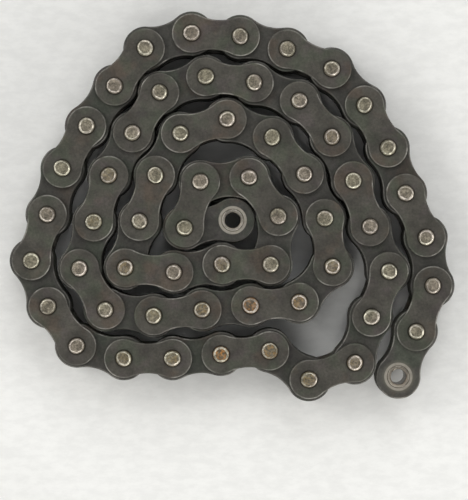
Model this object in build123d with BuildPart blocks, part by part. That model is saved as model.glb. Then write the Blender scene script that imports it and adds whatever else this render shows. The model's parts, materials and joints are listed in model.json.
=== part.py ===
"""A length of single-strand roller chain, wound flat into a coil and lying on its side.

The chain has 59 links of half-inch pitch. Inner links (two plates, two bushes, two rollers) and
outer links (two plates, two riveted pins) follow one another, with an inner link at each end.
Every link is one node, and every plate, pin, bush and roller in it is a solid of its own.
The frame has +Z up along the pins, and its origin is under the middle of the coil, on the surface
that the lower pin ends stand on.
"""

import os
from math import cos, radians, sin

from build123d import *

# Standard sizes of a half-inch chain, in millimetres
PITCH = 12.70
ROLLER_RADIUS = 3.96
ROLLER_BORE_RADIUS = 2.88
ROLLER_LENGTH = 7.70
BUSH_RADIUS = 2.825
BUSH_BORE_RADIUS = 2.005
INNER_WIDTH = 7.86  # between the two inner plates, where the sprocket tooth goes
PLATE_THICKNESS = 1.50
PLATE_GAP = 0.12  # between an inner plate and the outer plate that lies over it
PIN_RADIUS = 1.985
PIN_LENGTH = 16.50
RIVET_RADIUS = 2.15  # where the riveted pin end swells against the outer plate
RIVET_TAPER = 9.0  # degrees that the riveted end narrows by, away from the plate
OUTER_LOBE_RADIUS = 5.15  # the round ends of an outer plate
OUTER_WAIST = 3.90  # half the height of an outer plate at its middle
INNER_LOBE_RADIUS = 5.80
INNER_WAIST = 4.50
PLATE_EDGE = 0.20  # worn edge of a stamped plate
BORE_EDGE = 0.15  # chamfer on the ends of bushes and rollers
DIMPLE_RADIUS = 0.90  # mark of the riveting tool in each pin end
DIMPLE_DEPTH = 0.25

# Levels above the middle of the chain
INNER_PLATE_LEVEL = INNER_WIDTH / 2
BUSH_LENGTH = INNER_WIDTH + 2 * PLATE_THICKNESS
OUTER_PLATE_LEVEL = BUSH_LENGTH / 2 + PLATE_GAP
RIVET_LEVEL = OUTER_PLATE_LEVEL + PLATE_THICKNESS
RIVET_HEIGHT = PIN_LENGTH / 2 - RIVET_LEVEL

# How the chain lies: the direction of each link in degrees, anticlockwise from +X, from the free
# outer end inwards. One row is the outer lap, the second lap, the third lap and the inner end.
HEADINGS = (
    (69, 70, 98, 115, 111, 119, 132, 156, 165, 176, 198, 231, 235, 240, 252, 251, 290, 306, 345,
     0, 5, 4, 324, 20, 70, 69),
    (113, 110, 116, 132, 158, 173, 199, 236, 241, 252, 253, 302, 353, 7, 5, 4, 47, 99),
    (115, 131, 158, 197, 239, 251, 253, 355, 9, 0, 81),
    (127, 185, 251, 9),
)  # fmt: skip

END_ROLLER_X = -PITCH / 2  # the roller at the free end of the first link


def pin_centres():
    """Where the joints of the chain are, from the free end inwards, about the middle of the coil."""
    centres = [Vector(0, 0)]
    for heading in (degrees for lap in HEADINGS for degrees in lap):
        step = Vector(cos(radians(heading)), sin(radians(heading))) * PITCH
        centres.append(centres[-1] + step)
    xs = [centre.X for centre in centres]
    ys = [centre.Y for centre in centres]
    middle = Vector((min(xs) + max(xs)) / 2, (min(ys) + max(ys)) / 2)
    return [centre - middle for centre in centres]


def link_plane(start, end):
    """The middle plane of a link: x runs from its first joint to its second, z is up."""
    middle = (start + end) * 0.5 + Vector(0, 0, PIN_LENGTH / 2)
    return Plane(origin=middle, x_dir=end - start, z_dir=(0, 0, 1))


def plate(plane, level, lobe_radius, waist, hole_radius):
    """One waisted link plate, with its lower face at a level above the link's middle plane."""
    half = PITCH / 2
    waist_radius = (half**2 + waist**2 - lobe_radius**2) / (2 * (lobe_radius - waist))
    reach = lobe_radius + waist_radius
    touch_x = half * waist_radius / reach  # where a lobe runs into the waist
    touch_y = lobe_radius * (waist + waist_radius) / reach
    tip = half + lobe_radius
    with BuildPart() as piece:
        with BuildSketch(plane.offset(level)):
            with BuildLine():
                ThreePointArc((touch_x, touch_y), (tip, 0), (touch_x, -touch_y))
                ThreePointArc((touch_x, -touch_y), (0, -waist), (-touch_x, -touch_y))
                ThreePointArc((-touch_x, -touch_y), (-tip, 0), (-touch_x, touch_y))
                ThreePointArc((-touch_x, touch_y), (0, waist), (touch_x, touch_y))
            make_face()
            with Locations((-half, 0), (half, 0)):
                Circle(hole_radius, mode=Mode.SUBTRACT)
        extrude(amount=PLATE_THICKNESS)
        flats = piece.faces().filter_by(Axis.Z)
        rims = [edge for flat in flats for edge in flat.outer_wire().edges()]
        chamfer(rims, PLATE_EDGE)
    return piece.part


def plates(plane, level, lobe_radius, waist, hole_radius):
    """The lower and the upper plate of a link."""
    lower = plate(plane, -level - PLATE_THICKNESS, lobe_radius, waist, hole_radius)
    upper = plate(plane, level, lobe_radius, waist, hole_radius)
    lower.label = "lower_plate"
    upper.label = "upper_plate"
    return [lower, upper]


def sleeve(plane, x, outer_radius, bore_radius, length):
    """A bush or a roller: a tube about one joint of the link."""
    with BuildPart() as piece:
        with BuildSketch(plane.offset(-length / 2)):
            with Locations((x, 0)):
                Circle(outer_radius)
                Circle(bore_radius, mode=Mode.SUBTRACT)
        extrude(amount=length)
        chamfer(piece.edges().filter_by(GeomType.CIRCLE), BORE_EDGE)
    return piece.part


def pin(plane, x):
    """A pin with both ends riveted over the outer plates."""
    with BuildPart() as piece:
        with BuildSketch(plane.offset(-RIVET_LEVEL)):
            with Locations((x, 0)):
                Circle(PIN_RADIUS)
        extrude(amount=2 * RIVET_LEVEL)
        for side in (-1, 1):
            with BuildSketch(plane.offset(side * RIVET_LEVEL)):
                with Locations((x, 0)):
                    Circle(RIVET_RADIUS)
            extrude(amount=side * RIVET_HEIGHT, taper=RIVET_TAPER)
            with BuildSketch(plane.offset(side * PIN_LENGTH / 2)):
                with Locations((x, 0)):
                    Circle(DIMPLE_RADIUS)
            extrude(amount=-side * DIMPLE_DEPTH, mode=Mode.SUBTRACT)
    return piece.part


def outer_link(plane):
    """Two outer plates riveted on two pins."""
    pieces = plates(plane, OUTER_PLATE_LEVEL, OUTER_LOBE_RADIUS, OUTER_WAIST, PIN_RADIUS)
    for name, x in (("first_pin", -PITCH / 2), ("second_pin", PITCH / 2)):
        piece = pin(plane, x)
        piece.label = name
        pieces.append(piece)
    return pieces


def roller(plane, x):
    piece = sleeve(plane, x, ROLLER_RADIUS, ROLLER_BORE_RADIUS, ROLLER_LENGTH)
    piece.label = "roller"
    return piece


def inner_link(plane, roller_places):
    """Two inner plates pressed on two bushes, with a loose roller at each of the given places."""
    pieces = plates(plane, INNER_PLATE_LEVEL, INNER_LOBE_RADIUS, INNER_WAIST, BUSH_RADIUS)
    for name, x in (("first_bush", -PITCH / 2), ("second_bush", PITCH / 2)):
        piece = sleeve(plane, x, BUSH_RADIUS, BUSH_BORE_RADIUS, BUSH_LENGTH)
        piece.label = name
        pieces.append(piece)
    return pieces + [roller(plane, x) for x in roller_places]


def write_node(name, pieces):
    """One STEP file, in which each piece stays a solid of its own."""
    node = Compound(label=name, children=pieces)
    export_step(node, f"parts/{name}.step")


os.makedirs("parts", exist_ok=True)
centres = pin_centres()
for number, (start, end) in enumerate(zip(centres, centres[1:]), 1):
    plane = link_plane(start, end)
    if number % 2 == 0:
        write_node(f"outer_link_{number:02d}", outer_link(plane))
    elif number == 1:
        # The roller at the free end turns on its bush, so it's a node of its own
        write_node("inner_link_01", inner_link(plane, [-END_ROLLER_X]))
        write_node("end_roller", [roller(plane, END_ROLLER_X)])
    else:
        write_node(f"inner_link_{number:02d}", inner_link(plane, [-PITCH / 2, PITCH / 2]))
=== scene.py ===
"""A used roller chain, wound into a flat coil, seen from straight above on a pale floor.

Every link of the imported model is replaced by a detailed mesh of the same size: stamped plates with
a rolled edge and a rougher sheared side, riveted pin ends, flared bushes and rollers.
Lengths in the mesh code are millimetres in the link's own frame, which has the link's middle at
its origin and its length along X. lay() turns them into metres in the chain's frame.
"""

import json
from math import atan2, cos, hypot, pi, radians, sin

import bpy
import numpy as np
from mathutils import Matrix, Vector


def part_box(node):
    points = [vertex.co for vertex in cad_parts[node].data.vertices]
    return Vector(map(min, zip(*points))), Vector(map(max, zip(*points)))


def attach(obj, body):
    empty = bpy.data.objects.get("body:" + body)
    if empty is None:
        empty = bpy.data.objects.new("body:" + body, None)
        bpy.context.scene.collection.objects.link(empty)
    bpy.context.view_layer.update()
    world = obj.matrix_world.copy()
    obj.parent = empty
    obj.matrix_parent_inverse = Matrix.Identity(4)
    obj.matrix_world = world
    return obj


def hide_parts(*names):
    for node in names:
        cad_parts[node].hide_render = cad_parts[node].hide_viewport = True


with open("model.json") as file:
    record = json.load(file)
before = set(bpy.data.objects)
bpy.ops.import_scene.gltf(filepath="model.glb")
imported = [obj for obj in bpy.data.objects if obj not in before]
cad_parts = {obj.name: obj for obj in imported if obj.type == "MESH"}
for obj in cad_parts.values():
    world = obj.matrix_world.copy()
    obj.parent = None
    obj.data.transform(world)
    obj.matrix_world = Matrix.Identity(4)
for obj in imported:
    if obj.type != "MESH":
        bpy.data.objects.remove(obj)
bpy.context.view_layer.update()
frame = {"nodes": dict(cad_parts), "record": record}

MM = 0.001

# Sizes of the chain, as in the CAD. Half lengths and levels are from the middle of the link.
LINKS = 59
HALF_PITCH = 6.35
HALF_INNER_WIDTH = 3.93  # between the inner plates
PLATE_THICKNESS = 1.50
PLATE_GAP = 0.12  # between an inner plate and the outer plate over it
INNER_LOBE, INNER_WAIST = 5.80, 4.50
OUTER_LOBE, OUTER_WAIST = 5.15, 3.90
PIN_RADIUS, PIN_HALF = 1.985, 8.25
BUSH_RADIUS, BUSH_BORE = 2.825, 2.005
ROLLER_RADIUS, ROLLER_BORE, ROLLER_HALF = 3.96, 2.88, 3.85

BUSH_HALF = HALF_INNER_WIDTH + PLATE_THICKNESS
INNER_PLATE_LEVEL = HALF_INNER_WIDTH
OUTER_PLATE_LEVEL = BUSH_HALF + PLATE_GAP
MIDDLE_LEVEL = PIN_HALF  # above the floor, because the chain stands on its pin ends

# How rusty the pin ends are, by number from the free outer end; the rest are clean
RUSTY_PINS = {19: 0.35, 20: 0.5, 21: 1.0, 22: 0.65, 23: 0.5, 24: 0.4, 29: 0.25, 35: 0.3, 36: 0.25,
              39: 0.3, 40: 0.55, 41: 0.85, 42: 0.6, 43: 0.35, 51: 0.45, 53: 0.25}

# Material slots: an outer link has plates and pins, an inner link plates, bushes and rollers
PLATE = 0
PIN = 1
BUSH, ROLLER = 1, 2


# ---------------------------------------------------------------- meshes

# What each point tells the materials: how worn its edge is, with the painted highlight on a plate's
# rolled edge, how far it lies from its hole's axis, how rusty a pin, oil-brown a bush or pale a
# plate is there, and how far something has polished it, with the painted highlight on one side of a
# pin's rim
ATTRIBUTES = ("wear", "reach", "tint", "polish")


class Shells:
    """Collects the closed shells of one link: points, faces, and each face's material slot."""

    def __init__(self):
        self.points = []
        self.faces = []
        self.materials = []
        self.values = {name: [] for name in ATTRIBUTES}

    def add(self, points, **values):
        """Adds points and returns their numbers. An attribute's value is one number for all of
        them or a number for each, and 0 where it isn't given."""
        first, count = len(self.points), len(points)
        self.points.extend(points)
        for name, store in self.values.items():
            store.extend(np.broadcast_to(values.get(name, 0.0), (count,)).tolist())
        return list(range(first, first + count))

    def band(self, low, high, material, flipped=False):
        """Faces between two closed rings with as many points. Their front is on the right of low,
        seen along it with high above, or on the left if flipped."""
        if flipped:
            low, high = high, low
        count = len(low)
        for i in range(count):
            j = (i + 1) % count
            self.faces.append((low[i], low[j], high[j], high[i]))
            self.materials.append(material)

    def fan(self, ring, centre, material):
        """Triangles from a closed ring to one point in its middle."""
        for i, point in enumerate(ring):
            self.faces.append((point, ring[(i + 1) % len(ring)], centre))
            self.materials.append(material)


def ripple(seed, count, waves, fade):
    """A smooth closed random wave round a circle, between about -1 and 1. waves are how many
    times its parts go round, and each part is fade times as high as the one before."""
    rng = np.random.default_rng(seed)
    angles = np.arange(count) * 2 * pi / count
    total = np.zeros(count)
    size, sizes = 1.0, 0.0
    for wave in waves:
        total += size * np.cos(wave * angles + rng.uniform(0, 2 * pi))
        sizes += size
        size *= fade
    # The parts seldom peak together, so their sum is raised
    return total / sizes * 1.6


def quarter_turn(steps):
    """Angles from 0 to 90 degrees, in radians."""
    return [radians(90 * step / steps) for step in range(steps + 1)]


# ---------------------------------------------------------------- plates

LOBE_STEPS, WAIST_STEPS, MIDDLE_STEPS = 44, 8, 10

# The rolled edge that the punch leaves round the plate's outward face, and its wear from the face
# to the side, which also places the painted highlight along the edge
ROLL_WIDTH, ROLL_DEPTH = 0.52, 0.34
ROLL_WEAR_AND_HIGHLIGHT = (0.0, 0.35, 0.9, 1.0, 0.9, 0.65, 0.4)
# The side: smooth at first, then torn and a little further in
TORN_INSET = 0.06
# The sharper edge at the plate's inward face
EDGE_SIZE = 0.16
EDGE_WEAR = (0.5, 0.8, 0.6, 0.2)

# The rings of a flat face, as shares of the way from the hole's rim to the outline
FACE_RINGS = (0.95, 0.62, 0.30, 0.10, 0.0)


def half_outline(lobe, waist, inset):
    """The right half of a plate's outline, moved inwards, from its lower middle to its upper one."""
    waist_radius = (HALF_PITCH**2 + waist**2 - lobe**2) / (2 * (lobe - waist))
    turn = atan2(waist + waist_radius, HALF_PITCH)  # up to where the lobe runs into the waist
    lobe_end = pi - turn
    lobe_angles = np.linspace(-lobe_end, lobe_end, LOBE_STEPS + 1)
    waist_angles = np.linspace(pi / 2, turn, WAIST_STEPS + 1)
    radius = waist_radius + inset
    centre_y = waist + waist_radius
    low = [(radius * cos(a), -centre_y + radius * sin(a)) for a in waist_angles[:-1]]
    round_end = [(HALF_PITCH + (lobe - inset) * cos(a), (lobe - inset) * sin(a))
                 for a in lobe_angles]
    high = [(x, -y) for x, y in reversed(low)]
    return low + round_end + high


def full_outline(lobe, waist, inset):
    half = half_outline(lobe, waist, inset)[:-1]
    return half + [(-x, -y) for x, y in half]


def torn_outline(lobe, waist, inset, tear, wave):
    """An outline that wanders in and out by tear times the wave."""
    small = 0.02
    outline = full_outline(lobe, waist, inset)
    nudged = full_outline(lobe, waist, inset + small)
    return [(x + (u - x) * w * tear / small, y + (v - y) * w * tear / small)
            for (x, y), (u, v), w in zip(outline, nudged, wave)]


def plate_side():
    """The plate's edges and side, from its outward face to its inward one. A row is the inset
    from the outline, the depth below the outward face, the wear with its painted highlight, and how
    rough the tear is."""
    rows = []
    for angle, wear in zip(quarter_turn(len(ROLL_WEAR_AND_HIGHLIGHT) - 1), ROLL_WEAR_AND_HIGHLIGHT):
        rows.append((ROLL_WIDTH * (1 - sin(angle)), ROLL_DEPTH * (1 - cos(angle)), wear, 0.0))
    rows += [(0.0, 0.74, 0.2, 0.0),
             (0.05, 0.83, 0.1, 0.025),
             (0.07, 1.05, 0.05, 0.04),
             (TORN_INSET, PLATE_THICKNESS - 0.20, 0.1, 0.03)]
    for angle, wear in zip(quarter_turn(len(EDGE_WEAR))[1:], EDGE_WEAR):
        rows.append((TORN_INSET + EDGE_SIZE * (1 - cos(angle)),
                     PLATE_THICKNESS - EDGE_SIZE * (1 - sin(angle)), wear, 0.0))
    return rows


def plate_face(shells, ring, half_height, hole, sink, z, facing):
    """A flat face, between the ring round it and its two holes, which are countersunk by sink.
    half_height is the ring's, at the waist. Returns the rings that start the holes' walls."""
    middle_y = [half_height * (1 - 2 * j / MIDDLE_STEPS) for j in range(1, MIDDLE_STEPS)]
    middle = shells.add([(0.0, y, z) for y in middle_y],
                        reach=[hypot(HALF_PITCH, y) for y in middle_y])
    n = len(ring) // 2
    halves = ((ring[: n + 1] + middle, HALF_PITCH),
              (ring[n:] + ring[:1] + middle[::-1], -HALF_PITCH))
    rim = hole + sink
    walls = []
    for loop, centre_x in halves:
        spots = [shells.points[i] for i in loop]
        angles = [atan2(y, x - centre_x) for x, y, _ in spots]
        reaches = [hypot(x - centre_x, y) for x, y, _ in spots]
        loops = [loop]
        for share in FACE_RINGS:
            radii = [rim + (far - rim) * share for far in reaches]
            loops.append(shells.add(
                [(centre_x + r * cos(a), r * sin(a), z) for r, a in zip(radii, angles)],
                reach=radii))
        # The countersink, and the start of the hole's wall below it
        for radius, depth, wear in ((hole + 0.45 * sink, 0.10, 0.3), (hole, 0.28, 0.0)):
            loops.append(shells.add(
                [(centre_x + radius * cos(a), radius * sin(a), z - facing * depth)
                 for a in angles], reach=radius, wear=wear))
        for outer, inner in zip(loops, loops[1:]):
            shells.band(outer, inner, PLATE, flipped=facing < 0)
        walls.append(loops[-1])
    return walls


def plate(shells, side, lobe, waist, hole, level, sink, seed):
    """One stamped plate, above the link's middle if side is 1 and below it if -1. level is how
    far from the middle its inward face is."""
    count = len(full_outline(lobe, waist, 0.0))
    wave = ripple(seed, count, waves=(17, 23, 31, 43, 59), fade=0.95)
    face = side * (level + PLATE_THICKNESS)
    rows = plate_side()
    rings = []
    for inset, depth, wear, tear in rows:
        outline = torn_outline(lobe, waist, inset, tear, wave)
        rings.append(shells.add(
            [(x, y, face - side * depth) for x, y in outline], wear=wear,
            reach=[hypot(abs(x) - HALF_PITCH, y) for x, y in outline]))
    for outward, inward in zip(rings, rings[1:]):
        shells.band(inward, outward, PLATE, flipped=side < 0)
    outward_walls = plate_face(shells, rings[0], waist - rows[0][0], hole, sink, face, side)
    inward_walls = plate_face(shells, rings[-1], waist - rows[-1][0], hole, sink,
                              face - side * PLATE_THICKNESS, -side)
    for outward, inward in zip(outward_walls, inward_walls):
        shells.band(outward, inward, PLATE, flipped=side < 0)


# ---------------------------------------------------------------- pins, bushes and rollers

PIN_SEGMENTS, BUSH_SEGMENTS, ROLLER_SEGMENTS = 44, 44, 48

# Levels of a pin's end: where it leaves the plate, its hammered rim and its rough middle
PLATE_TOP = OUTER_PLATE_LEVEL + PLATE_THICKNESS
RIM_LEVEL = PIN_HALF - 0.05
DIP_LEVEL = PIN_HALF - 0.20

BUSH_EDGE, BUSH_FLARE = 0.14, 0.27
ROLLER_EDGE, ROLLER_FLARE = 0.25, 0.16


def turned(shells, x, profile, segments, material, closed):
    """A surface of revolution about the vertical through x. A profile point is (radius, level,
    wear, tint, polish), and they run so that the surface's front is on their right. closed joins
    the last ring to the first. Returns the rings."""
    angles = np.arange(segments) * 2 * pi / segments
    rings = []
    for radius, level, wear, tint, polish in profile:
        radii = np.broadcast_to(radius, (segments,))
        levels = np.broadcast_to(level, (segments,))
        rings.append(shells.add(
            [(x + r * cos(a), r * sin(a), z) for r, a, z in zip(radii, angles, levels)],
            wear=wear, reach=radii, tint=tint, polish=polish))
    for low, high in zip(rings, rings[1:]):
        shells.band(low, high, material)
    if closed:
        shells.band(rings[-1], rings[0], material)
    return rings


def pin_end(number, side):
    """The profile of one end of a pin, from inside the plate to near the axis: a bright irregular
    rim, hammered over and brighter on one side with a painted highlight, round a dull rough middle.
    A value that varies round the pin is an array."""
    rust = RUSTY_PINS.get(number, 0.0)
    seed = number * 7 + (side > 0) * 3 + 100
    rng = np.random.default_rng(seed)
    around = np.arange(PIN_SEGMENTS) * 2 * pi / PIN_SEGMENTS
    broad = ripple(seed, PIN_SEGMENTS, waves=(1, 2, 3, 4), fade=0.75)
    fine = ripple(seed + 1, PIN_SEGMENTS, waves=(4, 6, 9, 13), fade=0.9)
    finer = ripple(seed + 2, PIN_SEGMENTS, waves=(7, 11, 16, 19), fade=0.95)

    def lean(least, most, lobes=1):
        """A random amount, in a random direction."""
        return rng.uniform(least, most) * np.cos(lobes * around + rng.uniform(0, 2 * pi))

    tilt = lean(0.01, 0.045)
    shift = lean(0.02, 0.12)
    middle = rng.uniform(1.42, 1.56)
    # How bright the rim is at its brightest side, and how much of that it loses opposite: its
    # burnish, with a painted highlight that is brighter on one side
    brightest = rng.uniform(0.80, 1.10)
    loss = rng.uniform(0.05, 0.38)
    burnish_and_highlight = brightest * (1 - loss * (0.5 - 0.5 * np.cos(around + rng.uniform(0, 2 * pi))))
    # How much larger the head is than usual, and how oval
    spread = rng.uniform(-0.15, 0.06) + lean(0.03, 0.15, lobes=2)
    inner = middle + shift + 0.05 * broad + 0.06 * fine + 0.7 * spread
    outer = 1.92 + spread + 0.06 * broad + 0.045 * finer
    top = RIM_LEVEL + np.minimum(0.05, tilt + 0.018 * fine)
    # Radius, level, wear and polish: the shank and skirt, the rim, and the middle
    rows = [
        (PIN_RADIUS, PLATE_TOP - 0.55, 0.0, 0.0),
        (PIN_RADIUS + 0.01, PLATE_TOP - 0.20, 0.0, 0.0),
        (2.10 + 0.4 * spread, PLATE_TOP + 0.05, 0.1, 0.1),
        (2.11 + 0.4 * spread, PLATE_TOP + 0.45, 0.3, 0.2),
        (2.06 + 0.6 * spread + 0.015 * broad, PLATE_TOP + 0.75, 0.5, 0.35),
        (outer + 0.045, top - 0.26, 0.8, 0.75 * burnish_and_highlight),
        (outer, top - 0.14, 1.0, burnish_and_highlight),
        (outer - 0.09, top - 0.055, 1.0, burnish_and_highlight),
        (outer - 0.22, top - 0.012, 1.0, burnish_and_highlight),
        ((outer + inner) / 2 + 0.03 * finer, top, 1.0, burnish_and_highlight),
        (inner + 0.10, top - 0.02, 0.9, 0.9 * burnish_and_highlight),
        (inner, top - 0.07 + 0.01 * fine, 0.5, 0.5 * burnish_and_highlight),
        (inner - 0.12, DIP_LEVEL + 0.04 + 0.02 * finer, 0.1, 0.1),
        (inner * 0.80, DIP_LEVEL + 0.03 * fine, 0.0, 0.0),
        (inner * 0.60, DIP_LEVEL + 0.03 * finer, 0.0, 0.1),
        (inner * 0.40, DIP_LEVEL + 0.03 * broad, 0.0, 0.05),
        (inner * 0.20, DIP_LEVEL + 0.015 * fine, 0.0, 0.0),
    ]
    return [(radius, side * level, wear, rust, polish) for radius, level, wear, polish in rows]


def pin(shells, x, number):
    """A pin, riveted at both ends."""
    profile = pin_end(number, -1)[::-1] + pin_end(number, 1)
    rings = turned(shells, x, profile, PIN_SEGMENTS, PIN, closed=False)
    rust = RUSTY_PINS.get(number, 0.0)
    for side, ring in ((-1, rings[0][::-1]), (1, rings[-1])):
        centre = shells.add([(x, 0.0, side * DIP_LEVEL)], tint=rust)[0]
        shells.fan(ring, centre, PIN)


def tube(shells, x, outer, bore, half, edge, flare, segments, material, polish=0.0, band=0.0,
         tint=0.0):
    """A bush or a roller. edge is its rounding, flare how far its mouths open out, which darken
    inwards as painted shade going into the bore, polish and tint those of its ends, and band how
    bright the middle of its side has worn."""

    def rim(side):
        """From the end face to the side."""
        return [(outer - edge * (1 - sin(a)), side * (half - edge * (1 - cos(a))),
                 0.9 * sin(2 * a) + 0.2, polish) for a in quarter_turn(4)]

    def mouth(side):
        """From the end face into the bore, darker inwards: painted shade."""
        lip = [(bore + flare + 0.08, side * half, 0.0, polish)]
        return lip + [(bore + flare * (1 - sin(a)), side * (half - flare * (1 - cos(a))), 0.0,
                       0.5 * polish * (1 - sin(a)) ** 2) for a in quarter_turn(4)]

    worn_rows = ((-0.75, 0.1), (-0.5, 0.6), (-0.2, 1.0), (0.2, 1.0), (0.5, 0.6), (0.75, 0.1))
    outside = [(outer - 0.012 * worn * band, share * (half - edge), 0.0, max(polish, band * worn))
               for share, worn in worn_rows]
    inside = [(bore, share * half, 0.0, 0.0) for share in (0.6, 0.2, -0.2, -0.6)]
    profile = rim(-1) + outside + rim(1)[::-1] + mouth(1) + inside + mouth(-1)[::-1]
    turned(shells, x, [(r, z, wear, tint, p) for r, z, wear, p in profile], segments, material,
           closed=True)


def bush(shells, x, rubbed, oily):
    """rubbed is how bright another plate has rubbed it, and oily how brown it is, from 0 to 1."""
    tube(shells, x, BUSH_RADIUS, BUSH_BORE, BUSH_HALF, BUSH_EDGE, BUSH_FLARE, BUSH_SEGMENTS, BUSH,
         polish=0.15 + 0.85 * rubbed, tint=oily)


def roller(shells, x, material):
    tube(shells, x, ROLLER_RADIUS, ROLLER_BORE, ROLLER_HALF, ROLLER_EDGE, ROLLER_FLARE,
         ROLLER_SEGMENTS, material, band=0.5)


# ---------------------------------------------------------------- where the joints are

def node_name(number):
    return f"{'inner' if number % 2 else 'outer'}_link_{number:02d}"


def pins_of(node):
    """The two pin centres of an outer link, in the chain's frame, in metres."""
    spots = np.array([v.co for v in frame["nodes"][node].data.vertices], float)
    pin_ends = spots[:, 2] > spots[:, 2].max() - 0.01 * MM
    top = np.unique(np.round(spots[pin_ends, :2], 7), axis=0)
    middle = top.mean(0)
    axis = np.linalg.svd(top - middle)[2][0]
    along = (top - middle) @ axis
    return [top[along < 0].mean(0), top[along > 0].mean(0)]


def middle_of(node):
    low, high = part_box(node)
    return np.array(((low.x + high.x) / 2, (low.y + high.y) / 2))


def joint_places():
    """The axes of the chain's joints and its two open bushes, from the free outer end inwards."""
    places = [middle_of("end_roller")]
    for number in range(2, LINKS, 2):
        near = 2 * middle_of(node_name(number - 1)) - places[-1]
        places += sorted(pins_of(node_name(number)), key=lambda place: hypot(*(place - near)))
    places.append(2 * middle_of(node_name(LINKS)) - places[-1])
    return places


# ---------------------------------------------------------------- materials

class Look:
    """Builds one material's node tree."""

    def __init__(self, name):
        self.material = bpy.data.materials.new(name)
        self.material.use_nodes = True
        self.tree = self.material.node_tree
        self.tree.nodes.clear()
        self.place = self.add("TexCoord").outputs["Object"]

    def add(self, kind, inputs=None, **settings):
        """A new node. An input is a socket to link from, or a value."""
        node = self.tree.nodes.new("ShaderNode" + kind)
        for key, value in settings.items():
            setattr(node, key, value)
        for socket, value in (inputs or {}).items():
            if isinstance(value, bpy.types.NodeSocket):
                self.tree.links.new(value, node.inputs[socket])
            else:
                node.inputs[socket].default_value = value
        return node

    def noise(self, size_mm, detail, offset, stretch=(1.0, 1.0, 1.0), rough=0.55):
        """Cloudy noise, 0 to 1, with features about as large as size_mm."""
        moved = self.add("Mapping", {"Vector": self.place, "Scale": stretch,
                                     "Location": (offset, offset * 0.7, offset)}).outputs[0]
        return self.add("TexNoise", {"Vector": moved, "Scale": 0.7 / (size_mm * MM),
                                     "Detail": detail, "Roughness": rough}).outputs[0]

    def attribute(self, name):
        return self.add("Attribute", attribute_type="GEOMETRY", attribute_name=name).outputs["Fac"]

    def steps(self, value, low, high, to_low=0.0, to_high=1.0):
        """value from low to high, smoothly turned into to_low to to_high."""
        return self.add("MapRange", {"Value": value, "From Min": low, "From Max": high,
                                     "To Min": to_low, "To Max": to_high},
                        interpolation_type="SMOOTHSTEP", clamp=True).outputs[0]

    def maths(self, operation, first, second):
        return self.add("Math", {0: first, 1: second}, operation=operation).outputs[0]

    def plus(self, first, second):
        return self.maths("ADD", first, second)

    def minus(self, first, second):
        return self.maths("SUBTRACT", first, second)

    def times(self, first, second):
        return self.maths("MULTIPLY", first, second)

    def mix(self, share, first, second):
        """The colour first, with that share of second in it."""
        opaque = [(*colour, 1.0) if isinstance(colour, tuple) else colour
                  for colour in (first, second)]
        # The node's sockets for colours are its inputs 6 and 7 and its output 2
        return self.add("Mix", {0: share, 6: opaque[0], 7: opaque[1]}, data_type="RGBA",
                        blend_type="MIX").outputs[2]

    def shade(self, colour, factor):
        """colour times factor."""
        return self.add("VectorMath", {0: colour, "Scale": factor}, operation="SCALE").outputs[0]

    def filtered(self, colour, tint):
        """colour times tint, each channel by its own."""
        return self.add("VectorMath", {0: colour, 1: tint}, operation="MULTIPLY").outputs[0]

    def bump(self, height, distance_mm, strength, normal=None):
        inputs = {"Height": height, "Distance": distance_mm * MM, "Strength": strength}
        if normal is not None:
            inputs["Normal"] = normal
        return self.add("Bump", inputs).outputs[0]

    def finish(self, colour, metallic, roughness, normal, **constants):
        shader = self.add("BsdfPrincipled", {"Base Color": colour, "Metallic": metallic,
                                             "Roughness": roughness, "Normal": normal,
                                             **constants})
        output = self.add("OutputMaterial")
        self.tree.links.new(shader.outputs[0], output.inputs["Surface"])
        return self.material


# Patches of a second colour on the plates: size in mm, offset, the noise where they start, their
# share, and the colour against the plate's own
RED_BROWN = (7.0, 3.1, 0.52, 0.50, (1.16, 0.86, 0.72))
GREEN = (6.0, 7.7, 0.48, 0.62, (0.82, 1.02, 0.84))
VIOLET = (4.0, 8.6, 0.54, 0.45, (1.02, 0.88, 1.06))

# How far from a bush's axis the plate over it has rubbed: dirt next to the bush, then a bright ring
BUSH_DIRT_ENDS = (2.96, 3.06)
RUBBED_RING_ENDS = (3.58, 3.76)
PALE_HALO = (0.165, 0.155, 0.120)
RUBBED_TAN = (0.180, 0.160, 0.125)
RUBBED_BRIGHT = (0.345, 0.32, 0.275)


def plate_colour(look, dark, light, grain, offset):
    """Mottled black oxide, brown, green and violet in places, darker round the pins with oil and
    with painted shade where the pin stands proud of the plate.
    """
    base = look.mix(look.noise(7.0, 4.0, offset), dark, light)
    for size, where, low, share, tint in (RED_BROWN, GREEN, VIOLET):
        patch = look.steps(look.noise(size, 3.0, offset + where), low, low + 0.16, 0.0, share)
        base = look.mix(patch, base, tuple(0.9 * c * k for c, k in zip(light, tint)))
    cloud = look.noise(2.6, 5.0, offset + 4.4, rough=0.62)
    base = look.shade(base, look.steps(cloud, 0.32, 0.68, 0.78, 1.22))
    base = look.shade(base, look.steps(grain, 0.25, 0.75, 0.76, 1.24))
    # Darker round each hole: oil, and painted shade where the pin meets the plate
    wander = look.times(look.noise(1.6, 2.0, offset), 0.7)
    oil_and_shade_reach = look.plus(look.attribute("reach"), wander)
    return look.shade(base, look.steps(oil_and_shade_reach, 2.30, 3.00, 0.72, 1.0))


def worn_and_highlit_edges(look, offset):
    """How bare the steel is, and how much painted highlight the edge gets: on the edges, in patches,
    and more in some places than others.
    """
    patches = look.steps(look.noise(2.0, 4.0, offset + 5.0, rough=0.65), 0.36, 0.66, 0.06, 1.0)
    broad = look.steps(look.noise(8.0, 2.0, offset + 6.5), 0.36, 0.64, 0.12, 1.25)
    return look.times(look.steps(look.attribute("wear"), 0.25, 1.0), look.times(patches, broad))


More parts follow.
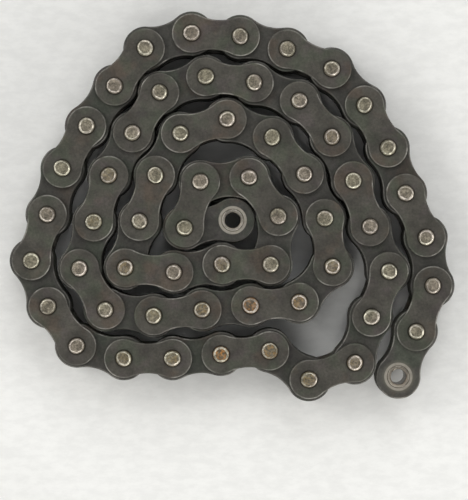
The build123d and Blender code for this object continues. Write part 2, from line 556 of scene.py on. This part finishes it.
def plate_look(name, dark, light, worn, offset):
    """Blackened, oily plate steel, bright where its edges wear and carry a painted highlight, and
    where a plate has rubbed it.
    """
    look = Look(name)
    grain = look.noise(0.45, 5.0, offset + 1.3, rough=0.7)
    base = plate_colour(look, dark, light, grain, offset)
    edge = worn_and_highlit_edges(look, offset)
    # The edges: bare steel, and a painted highlight along the rolled edge, in the worn colour
    base = look.mix(look.times(edge, 0.70), base, worn)
    # The paler link at the free outer end, palest round its bush
    reach = look.attribute("reach")
    pale = look.attribute("tint")
    base = look.shade(base, look.steps(pale, 0.0, 1.0, 1.0, 1.28))
    halo = look.times(look.steps(reach, 3.5, 4.7, 1.0, 0.0), pale)
    base = look.mix(look.times(halo, 0.45), base, PALE_HALO)
    # The ring that another plate has rubbed round an end bush: tan all over, bright past the bush
    rubbed = look.attribute("polish")
    within = look.steps(reach, *RUBBED_RING_ENDS, 1.0, 0.0)
    base = look.mix(look.times(within, look.steps(rubbed, 0.0, 0.3)), base, RUBBED_TAN)
    scratches = look.steps(look.noise(0.8, 4.0, 2.0), 0.25, 0.60, 0.5, 1.0)
    ring = look.times(within, look.steps(reach, *BUSH_DIRT_ENDS))
    polish = look.times(look.times(ring, rubbed), scratches)
    base = look.mix(polish, base, RUBBED_BRIGHT)
    metal = look.plus(look.times(edge, 0.15), look.plus(0.45, look.times(polish, 0.4)))
    shine = look.steps(look.noise(4.0, 4.0, offset + 2.0), 0.3, 0.7, 0.42, 0.58)
    dents = look.bump(look.noise(1.1, 3.0, offset + 9.0), 0.03, 0.35)
    return look.finish(base, metal, shine, look.bump(grain, 0.015, 0.45, dents))


DULL_DARK, DULL_LIGHT = (0.112, 0.099, 0.074), (0.235, 0.211, 0.163)
BRIGHT_DARK, BRIGHT_LIGHT = (0.32, 0.296, 0.248), (0.74, 0.695, 0.61)
PINKER, MORE_OLIVE = (1.02, 0.978, 0.99), (0.985, 1.0, 0.92)
THIN_RUST, THICK_RUST, RUST_PIT = (0.20, 0.135, 0.030), (0.33, 0.130, 0.014), (0.040, 0.025, 0.008)


def pin_look():
    """The riveted pin end: bright hammered rim with a painted highlight on one side, dull middle,
    rust on some.
    """
    look = Look("pin_steel")
    polish = look.attribute("polish")
    grain = look.noise(0.30, 4.0, 1.0, rough=0.7)
    blotch = look.noise(1.0, 3.0, 4.0)
    dull = look.mix(look.steps(blotch, 0.3, 0.7), DULL_DARK, DULL_LIGHT)
    dull = look.shade(dull, look.steps(grain, 0.32, 0.68, 0.52, 1.48))
    bright = look.mix(look.steps(grain, 0.35, 0.65), BRIGHT_DARK, BRIGHT_LIGHT)
    bright = look.shade(bright, look.steps(look.noise(1.4, 2.0, 12.0), 0.30, 0.68, 0.55, 1.25))
    wander = look.times(look.minus(look.noise(0.5, 3.0, 6.0), 0.5), 0.5)
    # The rim's burnish, which also carries the painted highlight from the polish attribute
    worn = look.steps(look.plus(polish, wander), 0.45, 0.85)
    base = look.mix(worn, dull, bright)
    # Some pins are a little pinker or more olive than others
    hue = look.steps(look.noise(9.0, 1.0, 15.0), 0.38, 0.62)
    base = look.filtered(base, look.mix(hue, PINKER, MORE_OLIVE))
    # Rust, olive brown where it is thin and orange where it is thick, and little of it on the rim
    amount = look.attribute("tint")
    rust = look.times(amount, look.steps(look.noise(0.7, 4.0, 8.0), 0.32, 0.60, 0.45, 1.0))
    cover = look.times(rust, look.steps(polish, 0.3, 0.8, 1.0, 0.15))
    orange = look.mix(look.steps(amount, 0.4, 1.0), THIN_RUST, THICK_RUST)
    orange = look.mix(look.steps(look.noise(0.5, 3.0, 9.0), 0.38, 0.58), orange, RUST_PIT)
    base = look.mix(look.times(cover, 0.97), base, orange)
    metal = look.minus(look.steps(worn, 0.0, 1.0, 0.45, 0.85), look.times(cover, 0.45))
    rough = look.plus(look.steps(worn, 0.0, 1.0, 0.60, 0.42), look.times(cover, 0.15))
    bumps = look.bump(grain, 0.03, 0.5, look.bump(blotch, 0.05, 0.4))
    return look.finish(base, metal, rough, bumps)


OIL_BROWN = (0.25, 0.20, 0.14)


def sleeve_look(name, dark, bright, offset):
    """Bushes and rollers: turned steel with fine rings round it, oil-brown in patches, bright where
    something rubs."""
    look = Look(name)
    grain = look.noise(0.5, 4.0, offset, rough=0.65)
    turning = look.noise(0.9, 3.0, offset + 6.0, stretch=(0.25, 0.25, 5.0))
    base = look.mix(look.noise(3.0, 3.0, offset + 2.0), dark, tuple(1.5 * c for c in dark))
    stain = look.steps(look.noise(4.0, 3.0, offset + 4.0), 0.50, 0.68, 0.0, 0.6)
    base = look.mix(stain, base, (dark[0] * 1.3, dark[1] * 0.9, dark[2] * 0.6))
    polish = look.times(look.attribute("polish"), look.steps(grain, 0.2, 0.6, 0.55, 1.0))
    base = look.mix(polish, base, bright)
    oil = look.times(look.attribute("tint"), look.steps(grain, 0.25, 0.65, 0.5, 1.0))
    base = look.mix(oil, base, OIL_BROWN)
    base = look.mix(look.times(look.attribute("wear"), 0.35), base, bright)
    base = look.shade(base, look.steps(grain, 0.2, 0.8, 0.88, 1.12))
    base = look.shade(base, look.steps(turning, 0.30, 0.70, 0.80, 1.15))
    rough = look.steps(turning, 0.3, 0.7, 0.24, 0.38)
    bumps = look.bump(turning, 0.01, 0.4, look.bump(grain, 0.012, 0.3))
    return look.finish(base, 0.9, rough, bumps)


FLOOR_DARK, FLOOR_LIGHT = (0.755, 0.755, 0.735), (0.83, 0.83, 0.812)


def floor_look():
    """A pale matt floor with a faint cloudy texture."""
    look = Look("pale_floor")
    base = look.mix(look.noise(26.0, 4.0, 1.0), FLOOR_DARK, FLOOR_LIGHT)
    flecks = look.noise(1.5, 5.0, 2.0, stretch=(0.5, 1.0, 1.0), rough=0.65)
    base = look.shade(base, look.steps(flecks, 0.32, 0.68, 0.955, 1.03))
    return look.finish(base, 0.0, 0.9, look.bump(look.noise(1.0, 4.0, 3.0), 0.05, 0.35),
                       **{"Specular IOR Level": 0.1})


# worn is the colour of bare edge steel, which also paints the highlight along the rolled edge
outer_steel = plate_look("blackened_outer_plate", dark=(0.0446, 0.0413, 0.0337),
                         light=(0.0788, 0.0736, 0.0608), worn=(0.315, 0.305, 0.275), offset=0.0)
# The inner plates' steel is a darker copy of the outer plates': painted shade, as they lie lower,
# between the outer plates
inner_steel = plate_look("blackened_inner_plate", dark=(0.034, 0.0325, 0.028),
                         light=(0.059, 0.0565, 0.0485), worn=(0.232, 0.224, 0.202), offset=0.31)
pin_steel = pin_look()
bush_steel = sleeve_look("bush_steel", dark=(0.10, 0.09, 0.075), bright=(0.44, 0.41, 0.355),
                         offset=0.0)
roller_steel = sleeve_look("roller_steel", dark=(0.088, 0.080, 0.068), bright=(0.37, 0.35, 0.315),
                           offset=0.2)


# ---------------------------------------------------------------- the links

# How rubbed and how oily the ends of a link's two bushes are. All but the chain's two end bushes
# are hidden under outer plates.
HIDDEN = (0.0, 0.0)
BUSH_ENDS = {1: ((0.9, 0.35), HIDDEN), LINKS: (HIDDEN, (1.0, 0.0))}

OUTER_HOLE_SINK, INNER_HOLE_SINK = 0.32, 0.13


def outer_shells(number):
    shells = Shells()
    for side in (-1, 1):
        plate(shells, side, OUTER_LOBE, OUTER_WAIST, PIN_RADIUS, OUTER_PLATE_LEVEL,
              OUTER_HOLE_SINK, seed=number * 10 + side + 2)
    for x, joint in ((-HALF_PITCH, number - 1), (HALF_PITCH, number)):
        pin(shells, x, joint)
    return shells


def inner_shells(number):
    shells = Shells()
    ends = BUSH_ENDS.get(number, (HIDDEN, HIDDEN))
    for side in (-1, 1):
        plate(shells, side, INNER_LOBE, INNER_WAIST, BUSH_RADIUS, INNER_PLATE_LEVEL,
              INNER_HOLE_SINK, seed=number * 10 + side + 2)
    # A plate is rubbed round its bush as the bush is, and the first link's plates are the pale ones
    shells.values["polish"] = [ends[int(x > 0)][0] for x, _, _ in shells.points]
    shells.values["tint"] = [float(number == 1)] * len(shells.points)
    for x, (rubbed, oily) in zip((-HALF_PITCH, HALF_PITCH), ends):
        bush(shells, x, rubbed, oily)
    # The first link's roller at the free end is a node of its own, which turns
    roller_places = (HALF_PITCH,) if number == 1 else (-HALF_PITCH, HALF_PITCH)
    for x in roller_places:
        roller(shells, x, ROLLER)
    return shells


def lay(shells, middle, along):
    """The shells' points in the chain's frame, in metres."""
    x, y, z = np.array(shells.points).T * MM
    return np.stack([middle[0] + x * along[0] - y * along[1],
                     middle[1] + x * along[1] + y * along[0],
                     z + MIDDLE_LEVEL * MM], axis=1)


SHARP_ANGLE = radians(50)  # faces that meet more steeply are shaded with an edge between them


def make_piece(name, node, body, shells, middle, along, materials):
    """Makes the shells into a piece that stands for the node and rides on its body."""
    mesh = bpy.data.meshes.new(name)
    mesh.from_pydata(lay(shells, middle, along).tolist(), [], shells.faces)
    for material in materials:
        mesh.materials.append(material)
    mesh.polygons.foreach_set("material_index", shells.materials)
    for key, values in shells.values.items():
        store = mesh.attributes.new(key, "FLOAT", "POINT")
        store.data.foreach_set("value", np.array(values, np.float32))
    mesh.shade_smooth()
    mesh.set_sharp_from_angle(angle=SHARP_ANGLE)
    mesh.update()
    piece = bpy.data.objects.new(name, mesh)
    bpy.context.scene.collection.objects.link(piece)
    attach(piece, body)
    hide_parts(node)


places = joint_places()
body_of_node = {node: body for body, nodes in frame["record"]["behaviour"]["bodies"].items()
                for node in nodes}
for number in range(1, LINKS + 1):
    start, end = places[number - 1], places[number]
    along = (end - start) / hypot(*(end - start))
    node = node_name(number)
    if number % 2:
        shells, slot = inner_shells(number), "inner_link_steel"
        materials = (inner_steel, bush_steel, roller_steel)
    else:
        shells, slot = outer_shells(number), "outer_link_steel"
        materials = (outer_steel, pin_steel)
    make_piece(f"link_{number:02d}", node, body_of_node[node], shells, (start + end) / 2,
               along, materials)

# The roller at the free end, alone in its piece, so its material is the first one
end_roller = Shells()
roller(end_roller, 0.0, material=0)
make_piece("loose_roller", "end_roller", "end_roller", end_roller, places[0],
           (1.0, 0.0), (roller_steel,))


# ---------------------------------------------------------------- floor, light and camera

# Lengths in metres
FLOOR_HALF = 1.6
floor_mesh = bpy.data.meshes.new("floor")
floor_mesh.from_pydata([(-FLOOR_HALF, -FLOOR_HALF, 0), (FLOOR_HALF, -FLOOR_HALF, 0),
                        (FLOOR_HALF, FLOOR_HALF, 0), (-FLOOR_HALF, FLOOR_HALF, 0)], [],
                       [(0, 1, 2, 3)])
floor_mesh.materials.append(floor_look())
floor = bpy.data.objects.new("floor", floor_mesh)
bpy.context.scene.collection.objects.link(floor)

# Surroundings that are brighter at the horizon than overhead. OVERHEAD_STARTS is the sine of the
# elevation where the overhead glow starts.
HORIZON_GLOW, OVERHEAD_GLOW = 0.62, 0.33
OVERHEAD_STARTS = 0.45
world = bpy.data.worlds.new("studio")
world.use_nodes = True
sky = world.node_tree
direction = sky.nodes.new("ShaderNodeTexCoord")
split = sky.nodes.new("ShaderNodeSeparateXYZ")
strength = sky.nodes.new("ShaderNodeMapRange")
strength.inputs["From Min"].default_value = 0.0
strength.inputs["From Max"].default_value = OVERHEAD_STARTS
strength.inputs["To Min"].default_value = HORIZON_GLOW
strength.inputs["To Max"].default_value = OVERHEAD_GLOW
sky.links.new(direction.outputs["Generated"], split.inputs[0])
sky.links.new(split.outputs["Z"], strength.inputs["Value"])
sky.links.new(strength.outputs[0], sky.nodes["Background"].inputs["Strength"])
sky.nodes["Background"].inputs["Color"].default_value = (1.0, 1.0, 1.0, 1.0)
bpy.context.scene.world = world


def soft_light(name, azimuth, elevation, distance, size, power, colour):
    """A square soft box that looks at the coil. Its azimuth is anticlockwise from +X, in degrees,
    its distance and size are in metres and its power in watts."""
    lamp = bpy.data.lights.new(name, "AREA")
    lamp.shape = "SQUARE"
    lamp.size = size
    lamp.energy = power
    lamp.color = colour
    holder = bpy.data.objects.new(name, lamp)
    a, e = radians(azimuth), radians(elevation)
    holder.location = Vector((cos(a) * cos(e), sin(a) * cos(e), sin(e))) * distance
    holder.rotation_mode = "QUATERNION"
    holder.rotation_quaternion = holder.location.to_track_quat("Z", "Y")
    bpy.context.scene.collection.objects.link(holder)


soft_light("key_light", azimuth=240, elevation=38, distance=0.95, size=0.55, power=2.2,
           colour=(1.0, 0.99, 0.96))
soft_light("low_light", azimuth=300, elevation=17, distance=0.95, size=0.35, power=3.4,
           colour=(1.0, 0.99, 0.97))
soft_light("fill_light", azimuth=75, elevation=50, distance=1.0, size=0.60, power=2.9,
           colour=(0.98, 0.99, 1.0))
soft_light("top_light", azimuth=270, elevation=70, distance=1.0, size=0.30, power=0.35,
           colour=(1.0, 0.99, 0.98))
soft_light("right_light", azimuth=350, elevation=22, distance=1.0, size=0.50, power=3.2,
           colour=(1.0, 0.99, 0.97))
soft_light("left_light", azimuth=155, elevation=45, distance=1.0, size=0.50, power=3.1,
           colour=(1.0, 0.99, 0.97))

# A view straight down on a point a little off the coil's middle. VIEW_HEIGHT is the frame's
# height at the level of the pin ends.
SENSOR = 36.0
VIEW_HEIGHT = 0.12996
VIEW_MIDDLE = (0.0005, -0.0114)
PIN_TOP = (MIDDLE_LEVEL + PIN_HALF) * MM
CAMERA_RISE = 0.60
camera_data = bpy.data.cameras.new("camera")
camera_data.sensor_width = SENSOR
camera_data.lens = SENSOR * CAMERA_RISE / VIEW_HEIGHT
camera_data.clip_start, camera_data.clip_end = 0.01, 20.0
camera = bpy.data.objects.new("camera", camera_data)
camera.location = (*VIEW_MIDDLE, PIN_TOP + CAMERA_RISE)
bpy.context.scene.collection.objects.link(camera)
bpy.context.scene.camera = camera
bpy.context.scene.view_settings.view_transform = "Standard"
